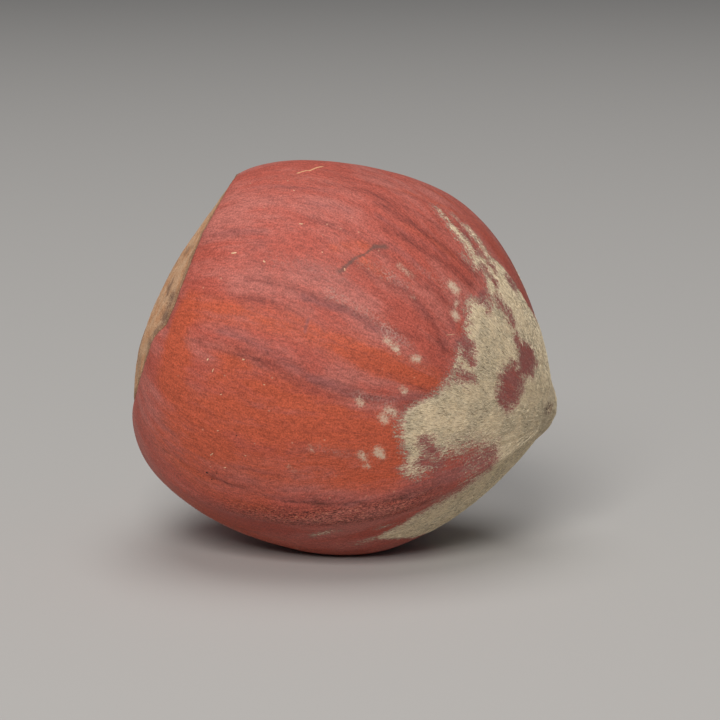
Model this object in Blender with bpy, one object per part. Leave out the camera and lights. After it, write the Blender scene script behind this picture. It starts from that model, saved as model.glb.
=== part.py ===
"""A whole hazelnut in its shell, lying on its side on a small flat spot.

Units are metres, +Z is up, and the origin is the middle of the flat spot.
The nut is first shaped about its own axis, which runs along +Z from the middle
of its base disc to its tip, and is then laid down as it comes to rest, with the
tip to +X. Angles round the axis are counted from the side that ends up on top,
towards the front, which is -Y once the nut lies down.
"""

import math

import bmesh
import bpy
from mathutils import Matrix

MM = 0.001

# The base disc, where the nut sat in its cup: slightly off the axis and aslant.
DISC_RADIUS = 6.27 * MM
DISC_CROWN = 1.10 * MM
CROWN_POWER = 2.13
CROWN_LEAN = 0.26
DISC_OFFSET = 1.385 * MM
DISC_TILT = math.radians(10.23)
TILT_REACH = 1.3 * MM

# The shell: a round shoulder from the disc to the belly, then a taper to the tip.
LENGTH = 19.32 * MM
BELLY_RADIUS = 9.79 * MM
BELLY_AT = 7.34 * MM
TAPER_POWER = 2.41
NOSE_POWER = 0.834
THICKNESS_RATIO = 0.93

# The dry nub that the flower leaves on the tip.
NUB_RADIUS = 0.9 * MM
NUB_HEIGHT = 0.14 * MM

# Two rounded ridges run from base to tip on opposite sides, and wander round it.
RIDGE_BASE_ANGLE = math.radians(155.4)
RIDGE_TIP_ANGLE = math.radians(126.1)
RIDGE_FROM = 3.8 * MM
RIDGE_TO = 18.0 * MM
RIDGE_SPREAD_BASE = math.radians(12.0)
RIDGE_SPREAD_TIP = math.radians(24.0)
RIDGE_BLUNTNESS = math.radians(5.0)
FAR_RIDGE_SHARE = 0.6

# Low ribs follow the length of the shell.
RIB_COUNTS = (13, 8)
RIB_HEIGHTS = (0.022 * MM, 0.03 * MM)
RIB_PHASES = (0.4, 2.1)

# Soft hollows and swellings: angle, distance from the base, height.
SWELLS = (
    (math.radians(0), 2.5 * MM, -0.30 * MM),
    (math.radians(0), 8.5 * MM, -0.20 * MM),
    (math.radians(0), 14.0 * MM, 0.34 * MM),
    (math.radians(180), 1.2 * MM, -0.10 * MM),
    (math.radians(180), 5.0 * MM, 0.06 * MM),
    (math.radians(180), 13.5 * MM, 0.37 * MM),
    (math.radians(250), 6.5 * MM, 0.14 * MM),
    (math.radians(295), 12.5 * MM, -0.16 * MM),
)
SWELL_REACH = 3.2 * MM

# How the nut lies.
TIP_DIP = math.radians(14.7)
TIP_TURN = math.radians(-1.5)
ROLL = math.radians(170.0)
FLAT_DEPTH = 0.30 * MM
FLAT_CORNER_GAP = 0.9 * MM

# The mesh: rings of corners from the crown of the disc to the tip.
SEGMENTS = 96
RINGS = 54
DISC_RINGS = 7
RING_CROWDING = 0.72
OUTLINE_STEPS = 200

SHELL_COLOUR = (0.43, 0.125, 0.075, 1.0)
SHELL_ROUGHNESS = 0.55


def make_outline():
    """Points of the shell's outline, as distance along the axis and radius."""
    points = []
    for step in range(OUTLINE_STEPS):
        swing = math.pi / 2 * step / OUTLINE_STEPS
        along = BELLY_AT * (1 - math.cos(swing))
        radius = DISC_RADIUS + (BELLY_RADIUS - DISC_RADIUS) * math.sin(swing)
        points.append((along, radius))
    for step in range(OUTLINE_STEPS + 1):
        share = math.sin(math.pi / 2 * step / OUTLINE_STEPS)
        along = BELLY_AT + (LENGTH - BELLY_AT) * share
        radius = BELLY_RADIUS * (1 - share**TAPER_POWER) ** NOSE_POWER
        points.append((along, radius))
    return points


def measure_outline(points):
    """Distance walked along the outline to each of its points."""
    walked = [0.0]
    for before, after in zip(points, points[1:]):
        walked.append(walked[-1] + math.dist(before, after))
    return walked


OUTLINE = make_outline()
WALKED = measure_outline(OUTLINE)


def outline_at(distance):
    """Distance along the axis and radius after a walk along the outline."""
    for index in range(1, len(WALKED)):
        if WALKED[index] >= distance:
            break
    share = (distance - WALKED[index - 1]) / (WALKED[index] - WALKED[index - 1])
    share = min(max(share, 0.0), 1.0)
    start, end = OUTLINE[index - 1], OUTLINE[index]
    return start[0] + share * (end[0] - start[0]), start[1] + share * (end[1] - start[1])


def clamp(value, low, high):
    return min(max(value, low), high)


def angle_between(first, second):
    """Signed difference of two angles, between minus pi and pi."""
    return (first - second + math.pi) % (2 * math.pi) - math.pi


def ridge_angle(along):
    """Where the near ridge lies round the axis at a distance from the base."""
    share = clamp((along - RIDGE_FROM) / (RIDGE_TO - RIDGE_FROM), -0.2, 1.1)
    return RIDGE_BASE_ANGLE + share * (RIDGE_TIP_ANGLE - RIDGE_BASE_ANGLE)


def ridge_rise(offset, spread):
    """How far two flat faces that meet stand outside the circle they touch."""
    blunted = math.hypot(offset, RIDGE_BLUNTNESS)
    return 1 / math.cos(clamp(spread - blunted, 0.0, spread)) - 1


def section_factor(angle, along, radius):
    """The cross-section: an oval with a ridge on either side, as a share of the radius."""
    oval = 1 / math.hypot(math.cos(angle), math.sin(angle) / THICKNESS_RATIO)
    share = clamp((along - RIDGE_FROM) / (RIDGE_TO - RIDGE_FROM), 0.0, 1.0)
    spread = RIDGE_SPREAD_BASE + share * (RIDGE_SPREAD_TIP - RIDGE_SPREAD_BASE)
    near = ridge_angle(along)
    rise = ridge_rise(angle_between(angle, near), spread)
    rise += FAR_RIDGE_SHARE * ridge_rise(angle_between(angle, near + math.pi), spread)
    fade = clamp((radius - 0.3 * MM) / (2 * MM), 0, 1) * clamp((along + 0.2 * MM) / (3 * MM), 0, 1)
    return oval * (1 + rise * fade)


def rib_height(angle, along, radius):
    """Low ribs, which fade out on the shoulder and towards the tip."""
    turned = angle - ridge_angle(along)
    fade = clamp(along / (5 * MM), 0, 1) * clamp((radius - 1.5 * MM) / (4 * MM), 0, 1)
    height = 0.0
    for count, most, phase in zip(RIB_COUNTS, RIB_HEIGHTS, RIB_PHASES):
        height += most * math.cos(count * turned + phase)
    return height * fade


def swell_height(angle, along, radius):
    """The sum of the soft hollows and swellings at a point."""
    height = 0.0
    for swell_angle, swell_along, most in SWELLS:
        across = radius * angle_between(angle, swell_angle)
        away = math.hypot(across, along - swell_along)
        height += most * math.exp(-0.5 * (away / SWELL_REACH) ** 2)
    return height * clamp(radius / (3 * MM), 0, 1)


def shell_point(angle, walked):
    """A point of the shell, from its angle and the walk along the outline."""
    along, radius = outline_at(walked)
    out = radius * section_factor(angle, along, radius)
    out += rib_height(angle, along, radius) + swell_height(angle, along, radius)
    ease = 1 / (1 + (walked / TILT_REACH) ** 2)
    up = out * math.cos(angle)
    nub = NUB_HEIGHT * clamp(1 - radius / NUB_RADIUS, 0, 1) ** 0.6
    return (
        up + DISC_OFFSET * ease**2,
        out * math.sin(angle),
        along + math.tan(DISC_TILT) * ease * up + nub,
    )


def disc_point(angle, share):
    """A point of the domed base disc, at a share of the way out to its rim."""
    rim_x, rim_y, _ = shell_point(angle, 0.0)
    up = share * (rim_x - DISC_OFFSET)
    dome = DISC_CROWN * (1 - share**CROWN_POWER) * (1 - CROWN_LEAN * share * math.cos(angle))
    return DISC_OFFSET + up, share * rim_y, math.tan(DISC_TILT) * up - dome


def ring_walk(share):
    """Rings stand closer together by the rim and the tip than on the belly."""
    eased = (1 - math.cos(math.pi * share)) / 2
    return WALKED[-1] * (share + RING_CROWDING * (eased - share))


def shape_ball(mesh):
    """Moves each corner of a ball to its place on the nut."""
    for vert in mesh.verts:
        angle = math.atan2(vert.co.y, vert.co.x)
        polar = math.acos(clamp(-vert.co.z, -1.0, 1.0))
        ring = round(polar / math.pi * RINGS)
        if ring <= DISC_RINGS:
            vert.co = disc_point(angle, ring / DISC_RINGS)
        else:
            vert.co = shell_point(angle, ring_walk((ring - DISC_RINGS) / (RINGS - DISC_RINGS)))


def lay_down(mesh):
    """Turns the nut from upright to how it lies."""
    pose = (
        Matrix.Rotation(TIP_TURN, 4, "Z")
        @ Matrix.Rotation(math.pi / 2 + TIP_DIP, 4, "Y")
        @ Matrix.Rotation(ROLL, 4, "Z")
    )
    bmesh.ops.transform(mesh, matrix=pose, verts=mesh.verts)


def cut_flat_spot(mesh):
    """Cuts the small flat under the nut, and puts the origin in its middle.

    Its rim keeps few corners, far apart, so that the nut stands on all of them.
    """
    cut_height = min(vert.co.z for vert in mesh.verts) + FLAT_DEPTH
    bmesh.ops.bisect_plane(
        mesh,
        geom=mesh.verts[:] + mesh.edges[:] + mesh.faces[:],
        plane_co=(0, 0, cut_height),
        plane_no=(0, 0, 1),
        clear_inner=True,
    )
    corners = [vert for vert in mesh.verts if vert.is_boundary]
    bmesh.ops.remove_doubles(mesh, verts=corners, dist=FLAT_CORNER_GAP)
    rim = [edge for edge in mesh.edges if edge.is_boundary]
    flat = bmesh.ops.contextual_create(mesh, geom=rim)["faces"][0]
    middle = flat.calc_center_median_weighted()
    bmesh.ops.translate(mesh, vec=-middle, verts=mesh.verts)
    for vert in flat.verts:
        vert.co.z = 0.0


def make_material():
    """Warm reddish brown shell, half matt."""
    material = bpy.data.materials.new("shell")
    material.use_nodes = True
    shader = material.node_tree.nodes["Principled BSDF"]
    shader.inputs["Base Color"].default_value = SHELL_COLOUR
    shader.inputs["Roughness"].default_value = SHELL_ROUGHNESS
    shader.inputs["Metallic"].default_value = 0.0
    return material


def make_hazelnut(collection):
    """The whole nut, grown in one piece."""
    mesh = bmesh.new()
    bmesh.ops.create_uvsphere(mesh, u_segments=SEGMENTS, v_segments=RINGS, radius=1.0)
    shape_ball(mesh)
    lay_down(mesh)
    cut_flat_spot(mesh)
    bmesh.ops.recalc_face_normals(mesh, faces=mesh.faces)
    data = bpy.data.meshes.new("hazelnut")
    mesh.to_mesh(data)
    mesh.free()
    data.shade_smooth()
    data.set_sharp_from_angle(angle=math.radians(30))
    data.materials.append(make_material())
    nut = bpy.data.objects.new("hazelnut", data)
    collection.objects.link(nut)
    return nut


def main():
    for old in list(bpy.data.objects):
        bpy.data.objects.remove(old)
    collection = bpy.data.collections.new("hazelnut_in_shell")
    bpy.context.scene.collection.children.link(collection)
    nut = make_hazelnut(collection)
    sizes = [round(side / MM, 2) for side in nut.dimensions]
    print("hazelnut, millimetres:", sizes, "faces:", len(nut.data.polygons))


main()
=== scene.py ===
# %% [markdown]
# # A hazelnut in its shell
#
# The part is one whole hazelnut that lies on its side: a red-brown shell with mauve
# and orange streaks, a pale granular base disc where the nut sat in its cup, and a
# blunt tip under a thin felt of beige down. The solid that carries it is fixed and
# comes from the frame. This script gives it its fine form, its colours and its down.

# %% Load the frame
import math

import bpy
import numpy as np
from mathutils import Matrix, Vector, noise


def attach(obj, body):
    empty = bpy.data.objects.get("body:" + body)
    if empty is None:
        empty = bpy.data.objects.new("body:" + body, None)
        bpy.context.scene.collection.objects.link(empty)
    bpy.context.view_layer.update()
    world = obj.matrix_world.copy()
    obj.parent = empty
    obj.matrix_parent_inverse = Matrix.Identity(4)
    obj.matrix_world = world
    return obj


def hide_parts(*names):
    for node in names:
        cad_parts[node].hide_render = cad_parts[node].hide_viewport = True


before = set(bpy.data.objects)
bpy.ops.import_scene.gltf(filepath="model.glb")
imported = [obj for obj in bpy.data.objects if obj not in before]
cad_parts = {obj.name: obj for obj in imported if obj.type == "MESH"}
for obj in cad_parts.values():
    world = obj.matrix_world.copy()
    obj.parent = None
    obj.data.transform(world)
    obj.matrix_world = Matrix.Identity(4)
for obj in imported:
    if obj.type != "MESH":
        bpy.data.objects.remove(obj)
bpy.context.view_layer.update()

MM = 0.001
cad_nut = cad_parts["hazelnut"]

# %% [markdown]
# ## The nut's own axis
#
# A nut is easiest to describe about its own axis: how far along it from the base disc,
# and at which angle round it. The solid lies on a table, so its axis is turned. One
# matrix leads from the upright nut to the lying one, and its inverse leads back. The
# angle is counted from the top of the lying nut towards the viewer.

# %% The matrix of the lying nut
BASE_MIDDLE = Vector((-8.167, 0.660, 11.710)) * MM
TIP_DIP = math.radians(14.7)
TIP_TURN = math.radians(-1.5)
ROLL = math.radians(170.0)
NUT_LENGTH = 19.46

lying = (
    Matrix.Translation(BASE_MIDDLE)
    @ Matrix.Rotation(TIP_TURN, 4, "Z")
    @ Matrix.Rotation(math.pi / 2 + TIP_DIP, 4, "Y")
    @ Matrix.Rotation(ROLL, 4, "Z")
)
upright = lying.inverted()
tip = lying @ Vector((0.0, 0.0, NUT_LENGTH * MM))
print("tip, mm:", [round(side / MM, 2) for side in tip])

# %% [markdown]
# ## Camera
#
# The photograph looks at the nut from a little above, from far away compared with its
# size. A camera without any perspective would come close, but a long lens keeps the
# little that is there. The picture is as wide as 36 mm at the nut, which sets the lens.

# %% Camera
VIEW_HEIGHT = math.radians(10.0)
VIEW_DISTANCE = 150.0 * MM
VIEW_WIDTH = 36.0 * MM
LOOKED_AT = Vector((0.842, 0.0, 9.522)) * MM

bpy.ops.object.select_all(action="DESELECT")
towards_viewer = Vector((0.0, -math.cos(VIEW_HEIGHT), math.sin(VIEW_HEIGHT)))
bpy.ops.object.camera_add(
    location=LOOKED_AT + VIEW_DISTANCE * towards_viewer,
    rotation=(math.pi / 2 - VIEW_HEIGHT, 0.0, 0.0),
)
camera = bpy.context.object
camera.data.lens = camera.data.sensor_width * VIEW_DISTANCE / VIEW_WIDTH
camera.data.clip_start = 1.0 * MM
bpy.context.scene.camera = camera
print("lens, mm:", round(camera.data.lens, 1))

# %% [markdown]
# ## Floor and light
#
# A plain pale floor reaches past the picture on all sides. The light is soft, so that
# it shows the form without hard shadows: a large lamp in front and above lights the
# belly and leaves the side under the ridge dim, a second one overhead lights the top,
# and a faint grey sky fills the rest.

# %% Floor
FLOOR_SIZE = 3.0
FLOOR_DROP = 0.01 * MM
FLOOR_COLOUR = (0.50, 0.49, 0.475, 1.0)
FLOOR_ROUGHNESS = 0.9
FLOOR_SHINE = 0.1

bpy.ops.mesh.primitive_plane_add(size=FLOOR_SIZE, location=(0.0, 0.0, -FLOOR_DROP))
floor = bpy.context.object
floor.name = "floor"
floor_paint = bpy.data.materials.new("pale floor")
floor_paint.use_nodes = True
floor_shader = floor_paint.node_tree.nodes["Principled BSDF"]
floor_shader.inputs["Base Color"].default_value = FLOOR_COLOUR
floor_shader.inputs["Roughness"].default_value = FLOOR_ROUGHNESS
floor_shader.inputs["Specular IOR Level"].default_value = FLOOR_SHINE
floor.data.materials.append(floor_paint)
print("floor:", tuple(round(side, 2) for side in floor.dimensions))

# %% Lights
LAMPS = (
    # name, place in mm, size in mm, watts, colour
    ("key", (-90.0, -450.0, 350.0), 240.0, 2.3, (1.0, 0.97, 0.94)),
    ("top", (-20.0, 40.0, 600.0), 420.0, 1.6, (1.0, 0.98, 0.96)),
)
SKY_COLOUR = (0.92, 0.95, 1.0, 1.0)
SKY_STRENGTH = 0.12


def add_lamp(name, place, size, watts, colour):
    """A square lamp that faces the nut."""
    spot = Vector(place) * MM
    facing = (spot - LOOKED_AT).to_track_quat("Z", "Y").to_euler()
    bpy.ops.object.light_add(type="AREA", location=spot, rotation=facing)
    lamp = bpy.context.object
    lamp.name = name
    lamp.data.size = size * MM
    lamp.data.energy = watts
    lamp.data.color = colour


for lamp_facts in LAMPS:
    add_lamp(*lamp_facts)

sky = bpy.data.worlds.new("studio")
sky.use_nodes = True
sky.node_tree.nodes["Background"].inputs["Color"].default_value = SKY_COLOUR
sky.node_tree.nodes["Background"].inputs["Strength"].default_value = SKY_STRENGTH
bpy.context.scene.world = sky
bpy.context.scene.view_settings.view_transform = "Standard"
print("lamps:", [facts[0] for facts in LAMPS])

# %% [markdown]
# ## The nut's fine mesh
#
# The frame's solid already has the form: the domed disc, the shoulder, the two ridges
# and the blunt tip. It is faceted, and a frame node is never changed, so a copy of it
# is worked on. The copy is merged, its triangles become quads again, and two rounds of
# subdivision make it smooth. The rim between disc and shell would melt away in that,
# so its edges are creased first. The disc's faces get a material slot of their own.

# %% Copy and merge the solid
MERGE_GAP = 0.001 * MM


def pick_out(piece):
    """Selects one object alone and makes it the active one."""
    bpy.ops.object.select_all(action="DESELECT")
    piece.select_set(True)
    bpy.context.view_layer.objects.active = piece


nut = bpy.data.objects.new("nut", cad_nut.data.copy())
bpy.context.scene.collection.objects.link(nut)
shell_paint = bpy.data.materials.new("shell paint")
disc_paint = bpy.data.materials.new("disc paint")
nut.data.materials.clear()
nut.data.materials.append(shell_paint)
nut.data.materials.append(disc_paint)

pick_out(nut)
bpy.ops.object.mode_set(mode="EDIT")
bpy.ops.mesh.select_all(action="SELECT")
bpy.ops.mesh.remove_doubles(threshold=MERGE_GAP)
bpy.ops.mesh.tris_convert_to_quads(face_threshold=math.pi, shape_threshold=math.pi)
bpy.ops.mesh.faces_shade_smooth()
bpy.ops.object.mode_set(mode="OBJECT")
print("corners:", len(nut.data.vertices), "faces:", len(nut.data.polygons))

# %% Crease the rim and set the disc's faces apart
DISC_TILT = math.radians(10.23)
DISC_OFFSET = 1.385
DISC_RADIUS = 6.27
RIM_TOLERANCE = 0.02


def above_rim_plane(point):
    """Height in millimetres over the slanting plane that holds the disc's rim."""
    own_place = (upright @ point) / MM
    return own_place.z - math.tan(DISC_TILT) * (own_place.x - DISC_OFFSET)


def near_rim(point):
    own_place = (upright @ point) / MM
    outer = math.hypot(own_place.x - DISC_OFFSET, own_place.y) > 0.9 * DISC_RADIUS
    return outer and abs(above_rim_plane(point)) < RIM_TOLERANCE


bpy.ops.object.mode_set(mode="EDIT")
bpy.ops.mesh.select_mode(type="VERT")
bpy.ops.mesh.select_all(action="DESELECT")
bpy.ops.object.mode_set(mode="OBJECT")
for corner in nut.data.vertices:
    corner.select = near_rim(corner.co)
rim_corners = sum(corner.select for corner in nut.data.vertices)
bpy.ops.object.mode_set(mode="EDIT")
bpy.ops.mesh.select_mode(type="EDGE")
bpy.ops.transform.edge_crease(value=1.0)
bpy.ops.mesh.mark_sharp()
bpy.ops.mesh.select_all(action="DESELECT")
bpy.ops.mesh.select_mode(type="FACE")
bpy.ops.object.mode_set(mode="OBJECT")
for face in nut.data.polygons:
    face.select = above_rim_plane(face.center) < 0.0
nut.active_material_index = 1
bpy.ops.object.mode_set(mode="EDIT")
bpy.ops.object.material_slot_assign()
bpy.ops.object.mode_set(mode="OBJECT")
disc_faces = sum(face.material_index for face in nut.data.polygons)
print("rim corners:", rim_corners, "disc faces:", disc_faces)

# %% Subdivide
FINE_ROUNDS = 2

pick_out(nut)
bpy.ops.object.modifier_add(type="SUBSURF")
rounds = nut.modifiers[-1]
rounds.levels = FINE_ROUNDS
rounds.render_levels = FINE_ROUNDS
bpy.ops.object.modifier_apply(modifier=rounds.name)
print("fine faces:", len(nut.data.polygons))

# %% [markdown]
# ## Where everything is on the nut
#
# Relief and colour both need to know where a point of the surface lies, so the places
# of all corners are read once, as arrays. The fibres of the shell don't run straight
# to the tip: they drift towards the near side on their way. The grain coordinates
# undo that drift. They put each fibre at one place on a ring, and measure the way
# along it on a third axis, so noise that is stretched along that axis gives streaks
# that follow the shell.

# %% Places of the corners
CORE_ALONG = 9.2
GRAIN_RADIUS = 9.0
GRAIN_ARC = 9.6
DRIFT_MIDDLE = math.radians(98.0)
DRIFT_STRENGTH = 0.75
DRIFT_START = 3.0
FAR_AWAY = 9.0
BASE_REACH = 4.0


def ramp(value, low, high):
    """A smooth step from 0 at low to 1 at high."""
    share = np.clip((value - low) / (high - low), 0.0, 1.0)
    return share * share * (3.0 - 2.0 * share)


def bell(gap, reach):
    """1 where the gap is 0, fading softly over the reach."""
    return np.exp(-((gap / reach) ** 2))


def read_corners(mesh, what):
    flat = np.empty(len(mesh.vertices) * 3)
    mesh.vertices.foreach_get(what, flat)
    return flat.reshape(-1, 3)


def to_own(places):
    """World places, in metres, to places about the nut's axis, in millimetres."""
    turn = np.array(upright.to_3x3())
    return (places @ turn.T + np.array(upright.translation)) / MM


def grain_of(places):
    """Ring coordinates that follow the fibres."""
    half = (np.arctan2(places[:, 1], places[:, 0]) - DRIFT_MIDDLE) / 2
    drift = np.exp(DRIFT_STRENGTH * ramp(places[:, 2], DRIFT_START, NUT_LENGTH))
    fibre = 2 * np.arctan2(np.sin(half) * drift, np.cos(half)) + DRIFT_MIDDLE
    radius = np.hypot(places[:, 0], places[:, 1])
    polar = np.arctan2(radius, CORE_ALONG - places[:, 2])
    ring = (GRAIN_RADIUS * np.cos(fibre), GRAIN_RADIUS * np.sin(fibre), GRAIN_ARC * polar)
    return np.stack(ring, axis=1)


world = read_corners(nut.data, "co")
outward = read_corners(nut.data, "normal")
own = to_own(world)
outward_own = outward @ np.array(upright.to_3x3()).T
angles = np.degrees(np.arctan2(own[:, 1], own[:, 0]))
along = own[:, 2]
out = np.hypot(own[:, 0], own[:, 1])
grain = grain_of(own)
on_disc = np.zeros(len(world), bool)
on_shell = np.zeros(len(world), bool)
for face in nut.data.polygons:
    side_of_rim = on_disc if face.material_index else on_shell
    side_of_rim[list(face.vertices)] = True
rim = own[on_disc & on_shell]
from_rim = np.full(len(own), FAR_AWAY)
near_base = along < BASE_REACH
rim_gaps = own[near_base][:, None, :] - rim[None, :, :]
from_rim[near_base] = np.sqrt((rim_gaps**2).sum(axis=2)).min(axis=1)
print("corners:", len(world), "of the rim:", len(rim), "length, mm:", round(along.max(), 2))

# %% [markdown]
# ## Helpers for marks and relief
#
# Soft lumps are read from a noise at each corner's place. A mark, such as a band of
# colour, a finger of down or a scratch, is a trail: a few points that are set by their
# angle and their distance along the axis, and joined along the surface. Each corner's
# distance to the trail says whether it is part of the mark. A picture laid over the nut
# could hold the marks too, but it would stretch at both ends and have no relief.

# %% Helpers
VERY_FAR = 1e9
TINY = 1e-6
BRIGHTEST = 1.3


def lumps(points, size, octaves=1, seed=0.0):
    """Soft noise between about -1 and 1 at each point, with lumps of the given size."""
    shift = Vector((seed, seed, seed))
    scaled = points / np.array(size, float)
    values = [noise.fractal(Vector(point) + shift, 1.0, 2.0, octaves) for point in scaled]
    return np.array(values)


def turn_gap(first, second):
    """Difference of two angles in degrees, between -180 and 180."""
    return (first - second + 180.0) % 360.0 - 180.0


def corner_at(angle, distance):
    """The shell's corner nearest to an angle and a distance along the axis."""
    across = np.radians(turn_gap(angles, angle)) * out
    gap = across**2 + (along - distance) ** 2
    gap[~on_shell] = VERY_FAR
    return int(np.argmin(gap))


def follow(points):
    """Each corner's distance to a trail, its distance sideways, and the way along."""
    stops = [corner_at(*point) for point in points]
    best = np.full(len(own), VERY_FAR)
    sideways = np.full(len(own), FAR_AWAY)
    progress = np.zeros(len(own))
    walked = 0.0
    for start, end in zip(stops, stops[1:]):
        way = own[end] - own[start]
        length = max(np.linalg.norm(way), TINY)
        side = np.cross(outward_own[start] + outward_own[end], way)
        side /= max(np.linalg.norm(side), TINY)
        away = own - own[start]
        share = np.clip((away @ way) / length**2, 0.0, 1.0)
        gap = np.linalg.norm(away - share[:, None] * way, axis=1)
        closer = gap < best
        best[closer] = gap[closer]
        sideways[closer] = np.copysign(gap, away @ side)[closer]
        progress[closer] = walked + (share * length)[closer]
        walked += length
    return best, sideways, progress


def inside(half_width, points):
    """How deep inside a band along a trail each corner is, in millimetres."""
    return half_width - follow(points)[0]


def glow(bands):
    """Adds up soft bands: half width, strength, trail."""
    total = np.zeros(len(own))
    for half_width, strength, points in bands:
        total += strength * bell(follow(points)[0], half_width)
    return np.clip(total, 0.0, BRIGHTEST)


print("top of the belly, corner:", corner_at(0.0, 7.0))

# %% [markdown]
# ## Where the down lies
#
# The down covers the tip like a worn cap of felt. Its edge is ragged: fingers of it
# run back along the fibres, small tufts lie like powder in front of it, bare places
# show the shell inside it, and it is rubbed off along the ridge. Noise alone would give
# a ragged edge too, but not this one, so the photograph's side is followed mark by
# mark, and the far side goes on in the same manner. Except for the tufts, which are
# only paint, all of it becomes one number for each corner: how deep it is inside the
# down, in millimetres, and negative outside.

# %% The edge of the down
DOWN_EDGE = (
    # angle round the nut, distance along it
    (-180, 15.2), (-165, 14.6), (-150, 14.9), (-135, 13.9), (-120, 12.9), (-108, 13.3),
    (-95, 14.4), (-80, 13.3), (-65, 12.8), (-50, 13.9), (-35, 15.1), (-20, 15.8),
    (-8, 16.7), (8, 17.2), (18, 17.1), (23, 16.8), (25.5, 16.2), (27, 15.4), (28, 14.7),
    (30.5, 14), (32, 13.5), (34, 13.2), (36.4, 12.9), (39.4, 13.3), (42.5, 13.8), (46, 14.3),
    (50, 14.4), (53, 13.8), (57, 13.4), (62, 13.5), (67, 13.6), (72, 13.8), (77, 13.5),
    (82, 13.4), (87, 13.4), (91, 13.2), (94.6, 12.8), (98.3, 12.1), (102.4, 11.6),
    (108.4, 11.6), (112.3, 12), (117, 12.3), (120, 12.6), (122.6, 12.5), (125.6, 12.6),
    (127, 13.1), (129, 14), (139.5, 14.6), (143, 14), (147, 13.3), (151, 12.9),
    (153, 12.4), (155.7, 12), (158, 12.7), (162, 13.7), (170, 14.8), (180, 15.2),
)
EDGE_LUMPS = 0.24
EDGE_TEETH = 0.16

edge_angles, edge_distances = np.array(DOWN_EDGE, float).T
down_depth = along - np.interp(angles, edge_angles, edge_distances)
down_depth += EDGE_LUMPS * lumps(own, 0.6, 3, 13.0)
down_depth += EDGE_TEETH * lumps(grain, (0.25, 0.25, 0.8), 2, 23.0)
print("edge of the down, points:", len(DOWN_EDGE))

# %% Fingers in front of the edge, and small powdery tufts
FINGERS = (
    # half width, trail of angle and distance
    (0.19, ((27.4, 10.9), (30.2, 11.4), (32, 11.8))),
    (0.32, ((32.4, 12), (36, 12.7), (40, 13.5))),
    (0.08, ((25.2, 11.7), (26.8, 12.3))),
    (0.28, ((27.4, 12.7), (29, 13.3), (31.5, 14), (33.5, 14.6))),
    (0.07, ((41, 12.6), (43, 13.4))),
    (0.12, ((155.7, 9.2), (151.9, 9.7), (148.6, 10.2))),
    (0.11, ((159.3, 11.4), (156, 12.2))),
    (0.07, ((148.7, 12.1), (147.7, 12.6))),
    (0.18, ((122, 12.5), (123.4, 12.8), (124.6, 13.3))),
    (0.16, ((-42, 12.8), (-39, 13.6))),
    (0.12, ((-24, 13.6), (-20, 14.8))),
    (0.12, ((3, 15.2), (5, 16.5))),
    (0.16, ((-171, 12.4), (-168, 13.2))),
)
TUFTS = (
    # half width, strength, trail
    (0.26, 1, ((55, 12.5), (56, 12.7))), (0.24, 1, ((65, 12.95), (66, 13.1))),
    (0.18, 0.9, ((60.2, 12.9), (61.2, 13))), (0.24, 0.5, ((57, 9.8), (59, 10.4))),
    (0.16, 0.5, ((65.5, 10.6), (66, 10.8))), (0.26, 0.75, ((81.4, 10.1), (82.6, 10.4))),
    (0.21, 1.1, ((84, 11.5), (84.8, 11.7))), (0.13, 0.6, ((83.3, 10.6), (84, 10.8))),
    (0.2, 0.95, ((101, 9.5), (101.8, 9.75))), (0.22, 0.95, ((101.8, 11), (102.8, 11.3))),
    (0.24, 0.95, ((105, 10.75), (106, 11.05))), (0.2, 0.8, ((94.8, 11.4), (95.6, 11.5))),
    (0.24, 0.8, ((115.2, 10.95), (116.4, 11.2))), (0.18, 0.7, ((117.6, 11.1), (118.2, 11.3))),
    (0.24, 0.85, ((118.2, 10.2), (119.2, 10.4))), (0.17, 0.75, ((121.5, 10.6), (122.3, 10.8))),
    (0.17, 0.6, ((118.9, 7.8), (119.6, 8.1))), (0.2, 0.4, ((127.9, 7.2), (128.7, 7.5))),
    (0.26, 0.9, ((-71, 11.3), (-69, 11.6))), (0.18, 0.9, ((-62.5, 10.5), (-61.5, 10.8))),
    (0.24, 0.9, ((-85, 11.8), (-83, 12.1))), (0.2, 0.9, ((-112.5, 11.5), (-111.5, 11.9))),
    (0.22, 0.9, ((-129, 11.8), (-127, 12))), (0.2, 0.7, ((-51, 12.2), (-50, 12.5))),
)
TUFT_LUMPS = 0.5

for finger in FINGERS:
    down_depth = np.maximum(down_depth, inside(*finger))
tufts = glow(TUFTS) * (1.0 + TUFT_LUMPS * lumps(own, 0.24, 3, 37.0))
print("fingers:", len(FINGERS), "tufts:", len(TUFTS))

# %% Bare places inside the down
BARE_PLACES = (
    # half width, trail
    (0.84, ((83.5, 16.6), (80, 16.6))),
    (0.66, ((61.5, 17.05), (58.5, 17.15))),
    (0.22, ((73, 16.75), (68, 16.9))),
    (0.1, ((56.5, 16.5), (54, 16.3))),
    (0.1, ((51.5, 14), (53.2, 14.5))),
    (0.07, ((46.8, 14.9), (47.8, 15.5), (50, 15.9))),
    (0.22, ((73.9, 13.8), (74.7, 14.1))),
    (0.14, ((84.6, 13.9), (85.4, 14.4))),
    (0.08, ((77.6, 13.9), (78.4, 14.3))),
    (0.17, ((111.5, 13.1), (115, 13.5), (118, 13.9))),
    (0.15, ((119.4, 13.3), (121.6, 14.1))),
    (0.07, ((30, 15.1), (30.4, 15.6))),
    (0.05, ((31, 12.4), (33, 13.1), (34.8, 14.3))),
    (0.05, ((38, 13.6), (40, 14.6))),
    (0.26, ((-150, 15.6), (-144, 16.4), (-147, 16.9))),
    (0.36, ((-118, 16), (-108, 16.3))),
    (0.16, ((-108, 16.3), (-98, 16.9))),
    (0.24, ((-72, 14.4), (-66, 15.3))),
    (0.44, ((-44, 16.4), (-34, 16.8))),
)
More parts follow.
